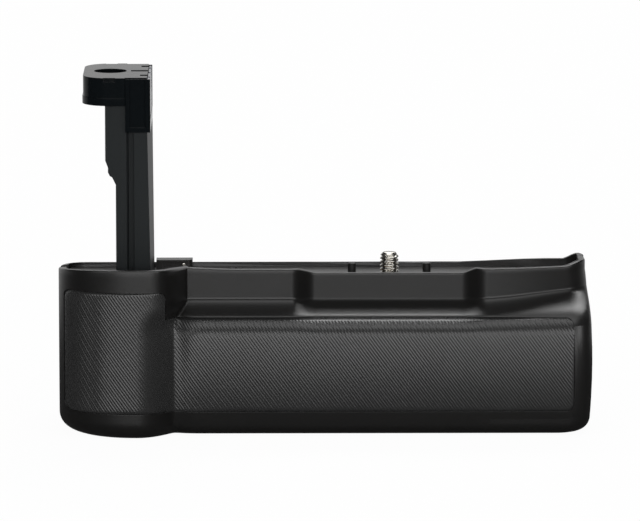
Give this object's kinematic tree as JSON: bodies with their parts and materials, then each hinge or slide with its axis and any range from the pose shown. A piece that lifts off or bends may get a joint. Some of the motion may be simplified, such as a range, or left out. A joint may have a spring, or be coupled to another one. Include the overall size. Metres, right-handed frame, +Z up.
{
  "type": "camera battery grip",
  "caption": "Hand grip that screws under a compact cinema camera, with a thumb wheel screw, a connector tower for the camera's battery bay, and a latched sliding battery tray.",
  "frame": {"origin": "on the camera screw's axis, at the mouth of the tripod socket in the flat base", "axes": "+X along the grip away from the hand column, +Y to the back, +Z up towards the camera"},
  "size_m": [0.1804, 0.0615, 0.1208],
  "materials": {
    "moulded_shell": "fine spark-eroded texture, satin",
    "deck_plastic": "smooth satin",
    "ribbed_rubber": "moulded with fine slanting ribs",
    "tower_plastic": "satin",
    "gloss_black": "glossy",
    "smoked_plate": "glossy, light grey",
    "gold_plated_brass": "bright plated",
    "flex_film": "amber film over copper",
    "black_steel": "black oxide",
    "nickel_steel": "nickel plated, bright",
    "wheel_plastic": "satin, knurled",
    "bare_steel": "zinc plated",
    "turned_brass": "turned",
    "inner_plastic": "satin",
    "circuit_board": "solder mask",
    "base_metal": "fine black powder coat"
  },
  "bodies": {
    "housing": {"front_shell": "moulded_shell", "rear_shell": "moulded_shell", "deck_plate": "deck_plastic", "front_grip_skin": "ribbed_rubber", "tower_left_half": "tower_plastic", "tower_right_half": "tower_plastic", "tower_head": "gloss_black", "contact_clip": "gloss_black", "contact_cover": "smoked_plate", "tower_contacts": "gold_plated_brass", "flex_strip": "flex_film", "tower_screws": "black_steel", "door_stow_block": "deck_plastic", "door_stow_pin": "nickel_steel", "screw_bush": "turned_brass", "mount_bracket": "bare_steel", "bracket_screws": "black_steel", "locating_pins": "black_steel", "deck_screws": "black_steel", "housing_screws": "black_steel", "tray_sleeve": "inner_plastic", "main_board": "circuit_board", "board_parts": "gloss_black", "board_screws": "bare_steel", "spring_contact_block": "gloss_black", "spring_contacts": "gold_plated_brass", "base_plate": "base_metal", "tripod_socket": "bare_steel", "base_screws": "black_steel"},
    "screw_wheel": {"mount_screw": "nickel_steel", "thumb_wheel": "wheel_plastic", "drive_pin": "bare_steel", "wheel_clip": "bare_steel"},
    "tray": {"battery_tray": "inner_plastic", "bay_contact_blocks": "gloss_black", "bay_contacts": "gold_plated_brass", "tray_pads": "gold_plated_brass", "tray_end_cap": "moulded_shell", "cap_screws": "black_steel"},
    "latch": {"latch_key": "wheel_plastic", "latch_tongue": "bare_steel", "latch_screw": "black_steel"}
  },
  "joints": [
    {"name": "screw_spin", "type": "hinge", "parent": "housing", "child": "screw_wheel", "pos_m": [0, 0, 0.035], "axis": [0, 0, 1], "continuous": true},
    {"name": "tray_slide", "type": "slide", "parent": "housing", "child": "tray", "axis": [1, 0, 0], "range_m": [0, 0.15]},
    {"name": "latch_turn", "type": "hinge", "parent": "tray", "child": "latch", "pos_m": [0.059, -0.0047, 0.0181], "axis": [1, 0, 0], "range_deg": [0, 90]}
  ]
}
